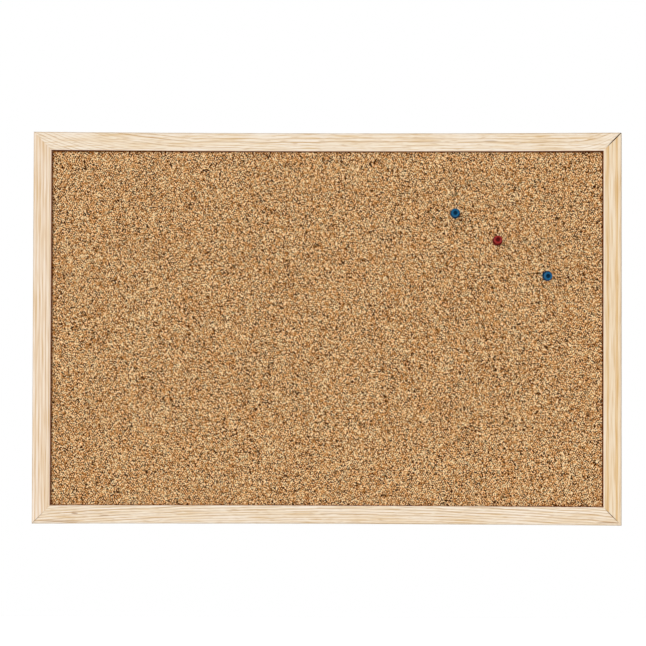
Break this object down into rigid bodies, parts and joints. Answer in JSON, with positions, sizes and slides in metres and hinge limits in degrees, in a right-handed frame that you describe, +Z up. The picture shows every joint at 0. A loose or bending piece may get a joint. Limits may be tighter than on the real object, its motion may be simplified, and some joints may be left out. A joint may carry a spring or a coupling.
{
  "type": "framed cork pin board",
  "caption": "Landscape cork pin board in a mitred pine frame, with push pins standing in the cork and hanging rings on the back.",
  "frame": {"origin": "middle of the top bar's back face, which bears against the wall", "axes": "+X to the right along the top bar, +Y back into the wall, +Z up; the cork faces -Y"},
  "size_m": [0.6, 0.0318, 0.4],
  "materials": {
    "pine": "planed pale pine, thin clear lacquer",
    "cork": "pressed cork granules, sanded",
    "softboard": "raw soft fibreboard",
    "kraft_paper": "matt brown kraft paper",
    "staple_wire": "galvanised flat wire",
    "zinc_steel": "bright zinc plate",
    "blue_plastic": "moulded gloss",
    "red_plastic": "moulded gloss",
    "needle_steel": "polished steel"
  },
  "bodies": {
    "board": {"frame_bar_top": "pine", "frame_bar_bottom": "pine", "frame_bar_left": "pine", "frame_bar_right": "pine", "cork_sheet": "cork", "softboard_core": "softboard", "backing_paper": "kraft_paper", "staple_top_left_outer": "staple_wire", "staple_top_left_inner": "staple_wire", "staple_top_right_outer": "staple_wire", "staple_top_right_inner": "staple_wire", "staple_bottom_left_outer": "staple_wire", "staple_bottom_left_inner": "staple_wire", "staple_bottom_right_outer": "staple_wire", "staple_bottom_right_inner": "staple_wire", "hanger_strap_left": "zinc_steel", "hanger_strap_right": "zinc_steel", "hanger_screw_left": "zinc_steel", "hanger_screw_right": "zinc_steel"},
    "left_ring": {"hanger_ring_left": "zinc_steel"},
    "right_ring": {"hanger_ring_right": "zinc_steel"},
    "blue_pin_upper": {"pin_blue_upper_head": "blue_plastic", "pin_blue_upper_needle": "needle_steel"},
    "red_pin": {"pin_red_head": "red_plastic", "pin_red_needle": "needle_steel"},
    "blue_pin_lower": {"pin_blue_lower_head": "blue_plastic", "pin_blue_lower_needle": "needle_steel"}
  },
  "joints": [
    {"name": "left_ring_swing", "type": "hinge", "parent": "board", "child": "left_ring", "pos_m": [-0.29065, 0.0023, -0.07065], "axis": [1, 0, 0], "range_deg": [0, 174]},
    {"name": "right_ring_swing", "type": "hinge", "parent": "board", "child": "right_ring", "pos_m": [0.29065, 0.0023, -0.07065], "axis": [1, 0, 0], "range_deg": [0, 174]},
    {"name": "blue_pin_upper_pull", "type": "slide", "parent": "board", "child": "blue_pin_upper", "axis": [-0.0244, -0.9997, -0.0087], "range_m": [0, 0.025]},
    {"name": "red_pin_pull", "type": "slide", "parent": "board", "child": "red_pin", "axis": [0.007, -0.9985, 0.0541], "range_m": [0, 0.025]},
    {"name": "blue_pin_lower_pull", "type": "slide", "parent": "board", "child": "blue_pin_lower", "axis": [0.014, -0.999, -0.0419], "range_m": [0, 0.025]}
  ]
}
